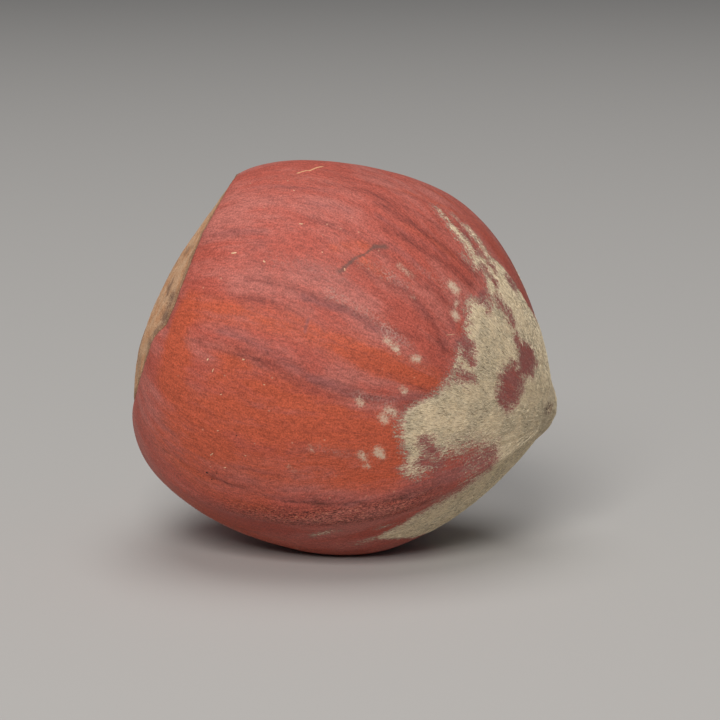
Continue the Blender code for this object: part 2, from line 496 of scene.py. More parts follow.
WORN_RIDGE = (
    # distance along the axis, angles between which the ridge is worn bare
    (12, 130, 150), (13.2, 126, 146), (14.2, 119.5, 139.5), (14.8, 118, 138.3),
    (15.5, 117, 136), (16.1, 119.5, 130.5), (16.9, 123, 127), (17.4, 125, 125),
)
WORN_SLOPE = 0.36
HALF_WORN = 0.04
BARE_DEPTH = 0.24
BARE_LUMPS = 0.32
BARE_SOFTNESS = 0.6
SOFT_REACH = 0.3
DEEPEST = 3.0

bare_spots = np.full(len(own), -FAR_AWAY)
for place in BARE_PLACES:
    bare_spots = np.maximum(bare_spots, inside(*place))
bare_spots += BARE_LUMPS * lumps(own, 0.5, 3, 31.0)
bare_spots = np.where(bare_spots > -SOFT_REACH, BARE_SOFTNESS * bare_spots, bare_spots)
down_depth = np.minimum(down_depth, -np.minimum(bare_spots, BARE_DEPTH))
worn_at, worn_from, worn_to = np.array(WORN_RIDGE).T
worn = np.minimum(
    turn_gap(angles, np.interp(along, worn_at, worn_from)),
    turn_gap(np.interp(along, worn_at, worn_to), angles),
)
worn_depth = WORN_SLOPE * np.radians(worn) * out
worn_depth = np.minimum(worn_depth, HALF_WORN + ramp(along, 15.6, 14.0))
down_depth = np.minimum(down_depth, ramp(along, 16.6, 17.6) - worn_depth)
down_depth = np.clip(down_depth, -DEEPEST, DEEPEST)
print("share of corners in the down:", round(float((down_depth > 0).mean()), 3))

# %% [markdown]
# ## The shell's colour fields
#
# The shell isn't one brown. Seen from the front, its upper half is a dusty rose with
# mauve streaks, and its lower half a warm orange brown with a mauve streak through it.
# Each field is a sum of soft bands along the fibres, with some of the same kind on the
# far side. Such bands can be put where they belong, and the material later breaks them
# up with finer noise, so that no band looks drawn.

# %% Warm, mauve and dark bands
WARM_BANDS = (
    # half width, strength, trail of angle and distance
    (0.8, 0.75, ((86, 0.6), (84.5, 2.9), (84, 5.5), (85.5, 7.5), (88, 9.6), (90, 12.6))),
    (0.6, 0.45, ((88, 8), (89.5, 10.5), (90.5, 13))),
    (1.3, 0.95, ((104, 3.4), (107, 5.2), (108.5, 7.2), (109.5, 9.4), (112, 11.2))),
    (1.3, 0.7, ((119, 3.4), (121, 6), (120.5, 8.8), (119, 11.4))),
    (0.9, 0.5, ((131, 3.6), (132.5, 6.6), (129, 9.4), (126, 12))),
    (1.3, 0.6, ((112, 0.8), (120, 1.6), (130, 3))),
    (0.8, 0.6, ((88, 0.4), (100, 0.5), (112, 0.5))),
    (1.2, 0.6, ((142, 0.8), (146, 3), (144, 6))),
    (0.4, 0.6, ((57, 6.6), (55.1, 7.3), (54.4, 8))),
    (0.45, 0.55, ((60, 8), (61.4, 9.3))),
    (0.6, 0.6, ((92, 0.3), (101, 0.2), (104, 0.8))),
    (1, 0.5, ((118, 0.6), (128, 1.4), (134, 2.4))),
    (0.3, 0.55, ((42, 9.6), (43, 11), (43.6, 12.2))),
    (0.35, 0.5, ((12, 9.6), (14, 12.4), (19, 15))),
    (0.3, 0.45, ((26, 8), (24, 10), (22, 12.4), (23, 14.6))),
    (0.5, 0.6, ((10, 15.2), (16, 16))),
    (1.6, 0.8, ((-45, 2), (-47, 6), (-52, 11))),
    (1.5, 0.75, ((-88, 1), (-86, 5), (-84, 10.4))),
    (1.7, 0.8, ((-140, 1.5), (-137, 6), (-132, 11))),
    (1.5, 0.6, ((168, 2), (170, 7), (174, 12))),
)
MAUVE_BANDS = (
    (0.9, 0.9, ((83.5, 16.6), (80, 16.6))), (0.8, 0.9, ((61.5, 17.05), (58.5, 17.15))),
    (0.8, 0.8, ((130, 13.5), (125, 15.5), (121, 17.3))),
    (0.45, 0.6, ((92, 2.6), (94, 4.8), (96.5, 6.4))),
    (0.32, 0.9, ((98.5, 7.2), (99.6, 9), (99, 10.6), (97, 12.2))),
    (0.28, 0.9, ((74.6, 5.8), (76, 7.9), (78.6, 9.4), (80, 11))),
    (0.6, 0.45, ((66, 3), (67, 6), (69, 8))),
    (0.4, 0.55, ((60, 8.6), (64, 10.2), (69, 11.6))),
    (0.35, 0.6, ((122, 7.2), (118.8, 8.9), (118, 10.2))),
    (0.5, 0.35, ((136, 8.6), (132.6, 10.6), (129, 12.8))),
    (0.25, 0.6, ((42, 8), (44.6, 10), (46.6, 12))),
    (0.25, 0.6, ((51, 8.6), (54.6, 10.4), (61, 12.2))),
    (0.6, 0.55, ((56, 0.4), (56.2, 1.7), (58, 3.2))),
    (0.35, 0.5, ((41.5, 3), (43, 5), (43.2, 6.8))),
    (0.3, 0.45, ((34, 2), (35.6, 4), (36, 6))),
    (0.5, 0.5, ((62, 12.9), (70, 12.9), (78, 12.8))),
    (0.1, 0.9, ((81.4, 6.3), (83.3, 6.28), (85.2, 6.22))),
    # The next band lies beside the groove: painted shade of the groove, laid in mauve.
    (0.22, 0.6, ((139.7, 2.7), (142.4, 4.7), (139.5, 7.6), (135.8, 10.4), (131.9, 13.1))),
    (0.6, 0.8, ((-30, 3), (-31, 8), (-36, 13))),
    (0.5, 0.9, ((-64, 4), (-66, 8.6), (-70, 12.4))),
    (0.6, 0.8, ((-108, 2), (-106, 6), (-101, 11.4))),
    (0.5, 0.8, ((-122, 4), (-119, 8), (-114, 12.2))),
    (0.6, 0.8, ((-157, 4), (-156, 8), (-150, 12.6))),
    (0.5, 0.6, ((-6, 2), (-5, 6), (-7, 12))),
)
DARK_STREAKS = (
    # The first band, broad and faint, darkens the near side above the ridge towards the base:
    # painted shade.
    (1.6, 0.22, ((118, 0.8), (128, 2.5), (138, 6), (136, 10))),
    (0.18, 0.7, ((50, 4.6), (50.1, 5.9), (50.7, 6.8), (51.9, 7.8), (53.1, 8.6))),
    (0.2, 0.8, ((73.3, 3), (73.5, 4.4), (74.4, 6.2), (75.6, 8), (77.6, 9.8), (78, 11.6))),
    (0.22, 0.8, ((96, 3.3), (98.2, 5.1), (101, 6.9), (102.3, 8.2), (100.4, 10.2))),
    (0.29, 1, ((45.6, 8.8), (46.8, 9.8), (48.6, 11.2), (49.2, 12.4), (50.4, 13.5))),
    (0.26, 1.1, ((37, 8), (39.5, 9.2), (41.2, 10.4), (43.1, 11.7), (45.2, 13.6))),
    (0.25, 0.8, ((31.5, 5), (32.3, 6.2), (33, 8), (34.4, 10), (36.4, 11.8))),
    (0.24, 0.9, ((61, 7.6), (63.6, 9.2), (66, 10.7), (70, 12), (78.3, 13))),
    (0.26, 0.8, ((54, 8.4), (56.2, 9.8), (59.6, 11.2), (63, 12.7))),
    (0.16, 0.7, ((25, 5.6), (26.5, 8), (26.5, 10.4))),
    (0.16, 0.6, ((20, 6), (20.5, 9), (21.5, 12), (24, 14.5))),
    (0.13, 0.4, ((42, 1), (43.5, 2.6), (44.2, 4))),
    (0.15, 0.6, ((14, 7), (13, 10), (14, 13))),
    (0.22, 0.6, ((89, 8.6), (91.6, 10.8), (93.6, 12.4))),
    (0.28, 0.8, ((103, 11.2), (99, 11.9), (94, 12.9))),
    (0.2, 0.5, ((80, 2), (79, 4), (80.4, 6))),
    (0.22, 0.45, ((110, 4), (113.4, 6), (114.6, 8))),
    (0.3, 0.6, ((94, 13.3), (95.1, 13.8), (95.2, 14.8), (94.1, 15.8), (95.9, 16.4))),
    (0.18, 0.7, ((-38, 4), (-41, 8), (-46, 12.6))),
    (0.18, 0.7, ((-76, 3), (-76, 8), (-77, 12.2))),
    (0.18, 0.7, ((-98, 5), (-95, 9), (-92, 12.6))),
    (0.18, 0.6, ((-12, 5), (-14, 10), (-19, 14))),
    (0.18, 0.6, ((-145, 5), (-142, 9), (-137, 12.6))),
    (0.18, 0.6, ((178, 4), (180, 9), (-176, 13))),
)
BARE_MAUVE = 1.1

warm = glow(WARM_BANDS)
mauve = np.maximum(glow(MAUVE_BANDS), BARE_MAUVE * ramp(bare_spots, -0.35, 0.1))
streaks = glow(DARK_STREAKS)
print("fields, mean:", [round(float(part.mean()), 3) for part in (warm, mauve, streaks)])

# %% Hazes, the rough ridge and the groove beside it
PALE_HAZES = (
    (0.35, 0.8, ((71.8, 6.9), (75, 8.8), (77.5, 10.1))),
    (0.25, 0.8, ((79, 10), (81, 11.2))),
    (0.25, 0.6, ((55, 10.6), (57, 12.2))),
    (0.3, 0.6, ((62, 9.4), (63, 10.4))),
    (0.3, 0.6, ((99, 9.4), (99.5, 11))),
    (0.5, 0.5, ((60, 8), (61, 9.4))),
    (0.8, 0.4, ((66, 4), (67, 7))),
    (0.3, 0.6, ((118, 8.4), (119, 9.6))),
    (0.8, 0.4, ((30, 3), (30, 6))),
    (0.4, 0.7, ((-66, 9.4), (-67, 12))),
    (0.4, 0.7, ((-118, 10), (-116, 12))),
    (0.4, 0.6, ((-36, 10), (-38, 13.4))),
)
GROOVE = (
    (151.2, 0), (145.1, 0.9), (143.6, 2.2), (142.6, 3.7), (141.9, 5.2), (140.5, 7.2),
    (137.4, 9.2), (134.9, 10.9), (133.4, 12.6), (131.2, 14.5),
)
TUFT_SPREAD = 2.3
TUFT_HAZE = 0.4
GROOVE_HALF_WIDTH = 0.07
CRUMBLY_PATCH = (0.45, 0.7, ((137.5, 9.0), (140.6, 9.5)))
RIDGE_AT_BASE = 155.4
RIDGE_AT_TIP = 126.1
RIDGE_FROM = 3.8
RIDGE_TO = 18.0

haze = glow(PALE_HAZES)
haze += glow([(TUFT_SPREAD * facts[0], TUFT_HAZE * facts[1], facts[2]) for facts in TUFTS])
groove_gap = follow(GROOVE)[0]
groove = bell(groove_gap, GROOVE_HALF_WIDTH)
ridge_share = np.clip((along - RIDGE_FROM) / (RIDGE_TO - RIDGE_FROM), -0.2, 1.1)
ridge_angle = RIDGE_AT_BASE + ridge_share * (RIDGE_AT_TIP - RIDGE_AT_BASE)
ridge_gap = np.radians(turn_gap(angles, ridge_angle)) * out
rough = ramp(ridge_gap, -1.3, -0.4) * ramp(ridge_gap, 0.9, 0.2)
rough *= ramp(along, 1.0, 8.0) * ramp(along, 16.5, 12.5)
rough = np.maximum(rough, glow((CRUMBLY_PATCH,)))
print("rough ridge, share of corners:", round(float((rough > 0.5).mean()), 3))

# %% [markdown]
# ## Relief of the shell
#
# Up close the shell has low rounded ribs, finer fibres between them and shallow dents.
# Along the ridge it is scarred and pitted. Two old scratches cross the fibres, one
# dark and one pale. These could be painted as bump alone, but light that grazes the
# ridge shows real height, so each corner is moved along its own direction.
#
# The solid's ridge is rounder than the real one. The fine mesh gets a sharper crest:
# the height by which two flat sides that meet stand outside a blunter ridge.

# %% Ribs, fibres, dents and crest
RIB_HEIGHT = 0.024
FIBRE_HEIGHT = 0.006
DENT_HEIGHT = 0.014
SCAR_HEIGHT = 0.022
GROOVE_DEPTH = 0.045
STREAK_DEPTH = 0.010
SOLID_BLUNTNESS = math.radians(5.0)
CREST_BLUNTNESS = math.radians(1.6)
SPREAD_AT_BASE = math.radians(12.0)
SPREAD_GROWTH = math.radians(12.0)
FAR_RIDGE_SHARE = 0.6
CREST_STARTS = (0.2, 3.0)
CREST_ENDS = (0.6, 2.4)


def ridge_rise(offset, spread, bluntness):
    """How far two flat sides that meet stand outside the circle they touch."""
    return 1.0 / np.cos(np.clip(spread - np.hypot(offset, bluntness), 0.0, spread)) - 1.0


def crest(offset_degrees):
    """What a sharper ridge adds to the solid's blunt one."""
    offset = np.radians(offset_degrees)
    spread = SPREAD_AT_BASE + SPREAD_GROWTH * np.clip(ridge_share, 0.0, 1.0)
    sharper = ridge_rise(offset, spread, CREST_BLUNTNESS)
    return out * (sharper - ridge_rise(offset, spread, SOLID_BLUNTNESS))


crest_fade = ramp(along, *CREST_STARTS) * ramp(out, *CREST_ENDS)
height = crest(turn_gap(angles, ridge_angle)) * crest_fade
height += FAR_RIDGE_SHARE * crest(turn_gap(angles, ridge_angle + 180.0)) * crest_fade
height += RIB_HEIGHT * lumps(grain, (0.95, 0.95, 13.0), 2)
height += FIBRE_HEIGHT * lumps(grain, (0.42, 0.42, 2.6), 2, 7.0)
height += DENT_HEIGHT * lumps(own, 1.7, 2, 3.0)
height += SCAR_HEIGHT * rough * lumps(grain, (0.28, 0.28, 0.60), 3, 11.0)
height -= GROOVE_DEPTH * groove * ramp(lumps(own, 1.2, 2, 8.0), -0.5, 0.3)
height -= STREAK_DEPTH * streaks
height *= ramp(from_rim, 0.0, 0.4) * on_shell
print("shell relief, mm:", round(float(height.min()), 3), round(float(height.max()), 3))

# %% Scratches
DARK_SCRATCH = (
    (65.9, 7), (65, 7.16), (63, 7.33), (61.1, 7.45), (59.2, 7.72), (57.2, 8.04),
    (54.9, 8.26), (53.6, 8.52), (52.3, 8.92), (51.5, 9.1),
)
PALE_SCRATCH = (
    (26.4, 3.95), (24.4, 4.18), (23.4, 4.36), (23.5, 4.55), (21.1, 4.71), (20, 4.88),
    (18.2, 5.1),
)
SCRATCH_DEPTH = 0.012
SCRATCH_HALF_WIDTH = 0.10

dark_gap, dark_side, dark_way = follow(DARK_SCRATCH)
pale_gap, pale_side, pale_way = follow(PALE_SCRATCH)
dark_share = dark_way / dark_way.max()
pale_share = pale_way / pale_way.max()
scratch_width = SCRATCH_HALF_WIDTH * (0.5 + dark_share)
height -= SCRATCH_DEPTH * bell(dark_gap, scratch_width)
height += 0.5 * SCRATCH_DEPTH * bell(pale_gap, SCRATCH_HALF_WIDTH)
print("scratches, mm long:", round(float(dark_way.max()), 2), round(float(pale_way.max()), 2))

# %% [markdown]
# ## Relief of the down and the tip
#
# The down lies on the shell as a thin lumpy pad, thinner at its edge. The hairs alone
# would not raise it, so the shell is lifted under them. A low collar keeps the tip
# blunt. Where the flower dried, a low knob and a small dark ring with lobes are left,
# both to the near side of the very tip.

# %% Pad of down, and the ring at the tip
PAD_EDGE = (-0.05, 0.35)
PAD_HEIGHT = 0.030
PAD_LUMPS = 0.016
COLLAR_HEIGHT = 0.14
COLLAR_RADIUS = 0.9
COLLAR_REACH = 0.5
COLLAR_FROM = (17.0, 18.4)
KNOB_PLACE = (66.0, 18.95)
KNOB_RADIUS = 0.45
KNOB_HEIGHT = 0.09
RING_PLACE = (84.0, 18.85)
RING_RADIUS = 0.30
RING_HALF_WIDTH = 0.12
RING_HEIGHT = 0.035
RING_SHADE_RADIUS = 0.42
PIT_RADIUS = 0.16
PIT_DEPTH = 0.05

pad = ramp(down_depth, *PAD_EDGE) * ramp(NUT_LENGTH - along, 0.0, 1.2)
height += pad * (PAD_HEIGHT + PAD_LUMPS * lumps(own, 0.40, 3, 5.0)) * on_shell
collar = bell(out - COLLAR_RADIUS, COLLAR_REACH)
height += COLLAR_HEIGHT * collar * ramp(along, *COLLAR_FROM)
from_knob = np.linalg.norm(own - own[corner_at(*KNOB_PLACE)], axis=1)
height += KNOB_HEIGHT * bell(from_knob, KNOB_RADIUS)
from_ring = np.linalg.norm(own - own[corner_at(*RING_PLACE)], axis=1)
ring = bell(from_ring - RING_RADIUS, RING_HALF_WIDTH)
ring_lobes = ring * ramp(lumps(own, 0.28, 2, 15.0), -0.4, 0.5)
height += RING_HEIGHT * ring_lobes - PIT_DEPTH * bell(from_ring, PIT_RADIUS)
print("ring at the tip, corners:", int((ring > 0.4).sum()))

# %% [markdown]
# ## Relief of the disc
#
# The disc is the scar of the cup: granular like cork, with shallow hollows, faint
# creases that run out from its middle, and a thin raised lip where it meets the shell.
# Noise of three sizes gives all of that, where cutting it in would take thousands of
# strokes. The rim isn't a clean ellipse. It wanders along the axis, with a step on the
# near side, and both the disc and the shell beside it follow.

# %% Cork grain, creases and lip of the disc
CORK_HEIGHT = 0.020
HOLLOW_HEIGHT = 0.05
CREASE_HEIGHT = 0.025
LIP_HEIGHT = 0.05
LIP_AT = 0.22
LIP_HALF_WIDTH = 0.12
STEP_DEPTH = 0.05
STEP_WIDTH = 0.10

disc_x = own[:, 0] - DISC_OFFSET
disc_out = np.hypot(disc_x, own[:, 1])
disc_angle = np.degrees(np.arctan2(own[:, 1], disc_x))
turn = np.radians(disc_angle)
spokes = np.stack((5 * np.cos(turn), 5 * np.sin(turn), 0.25 * disc_out), axis=1)
disc_height = CORK_HEIGHT * lumps(own, 0.26, 3, 2.0)
disc_height += HOLLOW_HEIGHT * lumps(own, 1.9, 2, 9.0)
disc_height += CREASE_HEIGHT * lumps(spokes, 0.45, 2, 4.0) * ramp(disc_out, 0.6, 2.2)
ragged = 0.6 + 0.6 * lumps(own, 0.8, 2, 6.0)
disc_height += LIP_HEIGHT * ragged * bell(from_rim - LIP_AT, LIP_HALF_WIDTH)
disc_height -= STEP_DEPTH * bell(from_rim, STEP_WIDTH)
height = np.where(on_disc & ~on_shell, disc_height * ramp(from_rim, 0.0, STEP_WIDTH), height)
disc_range = (disc_height[on_disc].min(), disc_height[on_disc].max())
print("disc relief, mm:", [round(float(side), 3) for side in disc_range])

# %% The wandering rim
RIM_SHIFTS = (
    # angle round the disc, shift along the axis
    (-180, 0.02), (-150, -0.12), (-120, 0.08), (-95, -0.06), (-60, 0.1), (-30, -0.08),
    (0, 0), (20, -0.06), (36, -0.11), (51, -0.15), (63, -0.21), (71, -0.15), (76, -0.13),
    (84, -0.05), (91, -0.01), (99, 0.06), (106, 0.07), (110.5, 0.08), (113, -0.05),
    (117, -0.2), (121, -0.22), (127, -0.16), (137, -0.09), (145, -0.05), (153, 0.03),
    (165, 0.05), (180, 0.02),
)
RIM_JITTER = 0.025
RIM_REACH_SHELL = 0.9
RIM_REACH_DISC = 0.8

rim_angles, rim_shifts = np.array(RIM_SHIFTS, float).T
wander = np.interp(disc_angle, rim_angles, rim_shifts)
wander += RIM_JITTER * lumps(spokes, (0.12, 0.12, 1.0), 2, 17.0)
reach = np.where(on_shell, RIM_REACH_SHELL, RIM_REACH_DISC)
wander *= bell(from_rim, reach)
axis_way = np.array((tip - BASE_MIDDLE).normalized())
print("rim wanders, mm:", round(float(wander.min()), 2), round(float(wander.max()), 2))

# %% Stains of the disc
STAINS = (
    # angle round the disc, distance from its middle, reach, strength
    (92.2, 3.85, 0.35, 0.9), (96.5, 4.07, 0.35, 0.8), (98, 5.07, 0.4, 0.9),
    (102.1, 5.12, 0.35, 0.8), (108.7, 5.4, 0.45, 1), (127.2, 5.26, 0.5, 0.7),
    (114.7, 5.61, 0.45, 0.9), (62, 3.8, 0.4, 0.6), (84, 5.6, 0.3, 0.6),
    (72, 5.7, 0.3, 0.6), (-60, 3, 0.9, 0.8), (-140, 4.2, 0.8, 0.8),
    (20, 4.6, 0.6, 0.6), (170, 3.4, 0.8, 0.7), (-20, 2.4, 0.6, 0.6),
    (-95, 5.2, 0.6, 0.8), (150, 5, 0.6, 0.6), (60, 1.2, 0.7, 0.5),
)
STAIN_SPREAD = 1.25

stain = np.zeros(len(own))
for stain_angle, stain_out, stain_reach, strength in STAINS:
    stain_x = stain_out * math.cos(math.radians(stain_angle))
    stain_y = stain_out * math.sin(math.radians(stain_angle))
    away = np.hypot(disc_x - stain_x, own[:, 1] - stain_y)
    stain = np.maximum(stain, strength * bell(away, STAIN_SPREAD * stain_reach))
print("stains:", len(STAINS))

# %% Move the corners
TABLE_FADE = (0.02, 0.35)

off_table = ramp(world[:, 2] / MM, *TABLE_FADE)
shaped = world + outward * (height * off_table * MM)[:, None]
shaped += axis_way * (wander * off_table * MM)[:, None]
shaped[:, 2] = np.maximum(shaped[:, 2], 0.0)
nut.data.vertices.foreach_set("co", shaped.astype(np.float32).ravel())
nut.data.update()
moved = np.linalg.norm(shaped - world, axis=1) / MM
print("moved, mm: most", round(float(moved.max()), 3), "mean", round(float(moved.mean()), 4))

# %% [markdown]
# ## Fields on the mesh
#
# The material has to know the same fields, so they are stored on the mesh as point
# attributes, which a shader reads with an Attribute node. The ring coordinates go with
# them. A scratch is thinner than a face, so for it the distance sideways and the share
# of the way along are stored, which stay true inside a face.

# %% Store the fields
LINE_REACH = 1.2


def store_field(piece, name, values):
    """Keeps one number or one vector for each corner of a piece."""
    kind, part = ("FLOAT_VECTOR", "vector") if values.ndim == 2 else ("FLOAT", "value")
    layer = piece.data.attributes.new(name, kind, "POINT")
    layer.data.foreach_set(part, values.astype(np.float32).ravel())


def line_vectors(gap, side, share):
    """Sideways distance, share of the way, and a third number that is 0 near the line."""
    near = gap < LINE_REACH
    far = np.where(near, 0.0, FAR_AWAY)
    return np.stack((np.where(near, side, FAR_AWAY), share, far), axis=1)


ring_shade = bell(from_ring, RING_SHADE_RADIUS)
for field_name, values in (
    ("grain", grain), ("own", own), ("down", down_depth), ("warm", warm), ("mauve", mauve),
    ("dark line", line_vectors(dark_gap, dark_side, dark_share)), ("streaks", streaks),
    ("pale line", line_vectors(pale_gap, pale_side, pale_share)), ("haze", haze),
    ("rough", rough), ("groove", groove_gap.clip(0.0, DEEPEST)), ("tufts", tufts),
    ("ring", ring_shade), ("from rim", from_rim), ("stain", stain),
):
    store_field(nut, field_name, values)
print("attributes on the nut:", len(nut.data.attributes))

# %% [markdown]
# ## Building shaders
#
# A shader is a net of nodes. A few small helpers keep the net readable: ones that read
# a field or noise in a chosen size, one for a soft step, ones that combine numbers and
# lay colours over each other, and ones that join the result to the surface. Without
# them each node and each of its values would take a line of its own.

# %% Shader helpers
def screen_colour(red, green, blue):
    """A colour as seen on a screen, from 0 to 255, as the numbers that a shader takes."""
    shares = [part / 255.0 for part in (red, green, blue)]
    return [s / 12.92 if s <= 0.04045 else ((s + 0.055) / 1.055) ** 2.4 for s in shares] + [1.0]


class Net:
    """The node tree of one material, with short ways to add to it."""

    def __init__(self, material):
        material.use_nodes = True
        self.tree = material.node_tree
        self.shader = self.tree.nodes["Principled BSDF"]

    def put(self, socket, value):
        """A socket takes another socket, or a plain value."""
        if isinstance(value, bpy.types.NodeSocket):
            self.tree.links.new(value, socket)
        else:
            socket.default_value = value

    def add(self, kind, **values):
        """A new node. Each value goes to the input of its name, with _ for a space."""
        node = self.tree.nodes.new("ShaderNode" + kind)
        for name, value in values.items():
            self.put(node.inputs[name.replace("_", " ")], value)
        return node

    def attribute(self, name, output="Fac"):
        node = self.add("Attribute")
        node.attribute_name = name
        return node.outputs[output]

    def object_place(self):
        return self.add("TexCoord").outputs["Object"]

    def parts(self, vector):
        return self.add("SeparateXYZ", Vector=vector).outputs

    def scaled(self, vector, size, shift=(0.0, 0.0, 0.0)):
        """Coordinates divided by a size, one number or three, and shifted."""
        scale = [1.0 / side for side in np.broadcast_to(size, 3)]
        return self.add("Mapping", Vector=vector, Scale=scale, Location=shift).outputs[0]

    def noise(self, vector, size, detail=2.0, roughness=0.5, shift=(0.0, 0.0, 0.0)):
        at = self.scaled(vector, size, shift)
        node = self.add("TexNoise", Vector=at, Scale=1.0, Detail=detail, Roughness=roughness)
        return node.outputs["Fac"]

    def cells(self, vector, size):
        """Distance to the nearest of many scattered points, and a random colour of each."""
        node = self.add("TexVoronoi", Vector=self.scaled(vector, size), Scale=1.0)
        return node.outputs["Distance"], node.outputs["Color"]

    def step(self, value, low, high, least=0.0, most=1.0):
        """A soft step: least below low, most above high."""
        node = self.add("MapRange", Value=value, From_Min=low, From_Max=high)
        node.inputs["To Min"].default_value = least
        node.inputs["To Max"].default_value = most
        node.interpolation_type = "SMOOTHSTEP"
        return node.outputs["Result"]

    def maths(self, kind, first, second=0.0):
        node = self.add("Math")
        node.operation = kind
        self.put(node.inputs[0], first)
        self.put(node.inputs[1], second)
        return node.outputs[0]

    def times(self, first, second):
        return self.maths("MULTIPLY", first, second)

    def plus(self, first, second):
        return self.maths("ADD", first, second)

    def mix(self, share, below, above, kind="MIX"):
        node = self.add("Mix")
        node.data_type = "RGBA"
        node.blend_type = kind
        self.put(node.inputs[0], share)
        self.put(node.inputs[6], below)
        self.put(node.inputs[7], above)
        return node.outputs[2]

    def lay(self, below, above, value, low, high, most):
        """Lays one colour over another: none of it below low, most of it above high."""
        return self.mix(self.step(value, low, high, 0.0, most), below, above)

    def bump(self, height, distance, strength):
        node = self.add("Bump", Height=height, Distance=distance * MM, Strength=strength)
        self.put(self.shader.inputs["Normal"], node.outputs["Normal"])

    def surface(self, colour, roughness, shine):
        self.put(self.shader.inputs["Base Color"], colour)
        self.put(self.shader.inputs["Roughness"], roughness)
        self.put(self.shader.inputs["Specular IOR Level"], shine)


print("mid grey, as a shader takes it:", round(screen_colour(128, 128, 128)[0], 3))

# %% [markdown]
# ## The shell's material
#
# The layers go from broad to fine: rose and orange grounds, mauve bands, dark streaks
# along the fibres, a fine speckled grain, then the marks. Noise that is read from the
# ring coordinates and stretched along them follows the shell. One brown with a single
# noise would look like plastic. The same fine patterns drive the bump.

# %% Shell ground
BROWN = screen_colour(180, 88, 74)
ROSE = screen_colour(186, 108, 97)
ORANGE = screen_colour(192, 90, 62)
MAUVE = screen_colour(148, 88, 84)
STREAK = screen_colour(128, 64, 57)


def paint_ground(net, grain_at):
    """Rose, orange and mauve grounds with streaks along the fibres."""
    broad = net.noise(grain_at, (1.8, 1.8, 4.5), 4.0, 0.6)
    colour = net.mix(net.step(broad, 0.38, 0.64), BROWN, ROSE)
    wander = net.noise(grain_at, (0.7, 0.7, 2.2), 5.0, 0.65, (3.0, 1.0, 0.0))
    warm = net.times(net.attribute("warm"), net.step(wander, 0.25, 0.68, 0.45, 1.2))
    colour = net.lay(colour, ORANGE, warm, 0.08, 0.95, 0.95)
    veil = net.noise(grain_at, (0.45, 0.45, 1.8), 5.0, 0.65, (7.0, 2.0, 0.0))
    mauve = net.times(net.attribute("mauve"), net.step(veil, 0.28, 0.66, 0.35, 1.2))
    colour = net.lay(colour, MAUVE, mauve, 0.08, 1.0, 0.80)
    stripes = net.noise(grain_at, (0.40, 0.40, 7.0), 3.0, 0.6, (1.0, 5.0, 0.0))
    placed = net.times(net.attribute("streaks"), 0.7)
    dark = net.plus(net.step(stripes, 0.50, 0.78, 0.0, 0.5), placed)
    ragged = net.noise(grain_at, (0.14, 0.14, 0.6), 4.0, 0.7, (6.0, 6.0, 2.0))
    dark = net.times(dark, net.step(ragged, 0.32, 0.64, 0.35, 1.15))
    return net.lay(colour, STREAK, dark, 0.0, 1.0, 0.85)


def paint_fine_grain(net, colour, grain_at, own_at):
    """Short strokes along the fibres and an even finer speckle."""
    speckle = net.noise(own_at, 0.08, 3.0, 0.7)
    strokes = net.noise(grain_at, (0.13, 0.13, 0.36), 4.0, 0.75, (2.0, 2.0, 1.0))
    tone = net.plus(net.times(strokes, 0.7), net.times(speckle, 0.9))
    colour = net.mix(1.0, colour, net.step(tone, 0.52, 1.08, 0.58, 1.44), "MULTIPLY")
    return colour, speckle, strokes


print("ground colours: 5")

# %% Shell marks
# Dark brown for the scar's pores, and for the painted shade along the groove.
SCORCHED_AND_GROOVE_SHADE = screen_colour(62, 38, 32)
CRUMB = screen_colour(206, 150, 116)
FLECK = screen_colour(226, 168, 138)
HAZE = screen_colour(202, 164, 150)
TUFT = screen_colour(220, 196, 170)
GRAPHITE = screen_colour(108, 82, 74)
TORN = screen_colour(240, 188, 140)


def paint_marks(net, colour, grain_at, own_at):
    """Hazes, tufts, tiny flecks, the crumbly ridge and painted shade in the groove."""
    dust = net.noise(own_at, 0.10, 3.0, 0.7, (5.0, 1.0, 2.0))
    haze = net.times(net.attribute("haze"), net.step(dust, 0.38, 0.70))
    colour = net.lay(colour, HAZE, haze, 0.0, 1.0, 0.55)
    flour = net.noise(own_at, 0.06, 3.0, 0.75, (3.0, 7.0, 5.0))
    powder = net.plus(net.step(dust, 0.25, 0.75, 0.15, 0.9), net.step(flour, 0.3, 0.7, 0.0, 0.6))
    tuft = net.times(net.attribute("tufts"), powder)
    colour = net.lay(colour, TUFT, tuft, 0.12, 1.0, 0.9)
    distance, tint = net.cells(own_at, 0.55)
    kept = net.step(net.parts(tint)[0], 0.72, 0.76)
    near = net.step(distance, 0.045, 0.12, 0.5, 0.0)
    colour = net.mix(net.times(near, kept), colour, FLECK)
    pores = net.noise(grain_at, (0.075, 0.075, 0.13), 4.0, 0.8, (9.0, 4.0, 3.0))
    rough = net.attribute("rough")
    scar = net.times(rough, net.step(pores, 0.49, 0.60))
    crumbs = net.times(rough, net.step(pores, 0.45, 0.35))
    colour = net.lay(colour, SCORCHED_AND_GROOVE_SHADE, scar, 0.0, 1.0, 0.85)
    colour = net.lay(colour, CRUMB, crumbs, 0.0, 1.0, 0.70)
    # A broken dark line along the groove: painted shade of the groove.
    line = net.plus(net.attribute("groove"), net.step(pores, 0.3, 0.7, -0.06, 0.10))
    breaks = net.noise(grain_at, (0.6, 0.6, 0.8), 3.0, 0.6, (2.0, 9.0, 4.0))
    line = net.times(net.step(line, 0.02, 0.16, 1.0, 0.0), net.step(breaks, 0.42, 0.62, 0.0, 0.6))
    return net.mix(line, colour, SCORCHED_AND_GROOVE_SHADE), scar


def near_line(net, far, share):
    """1 beside a scratch, fading out at its two ends."""
    ends = net.times(net.step(share, 0.0, 0.06), net.step(share, 0.9, 1.0, 1.0, 0.0))
    return net.times(ends, net.step(far, 0.0, 1.0, 1.0, 0.0))


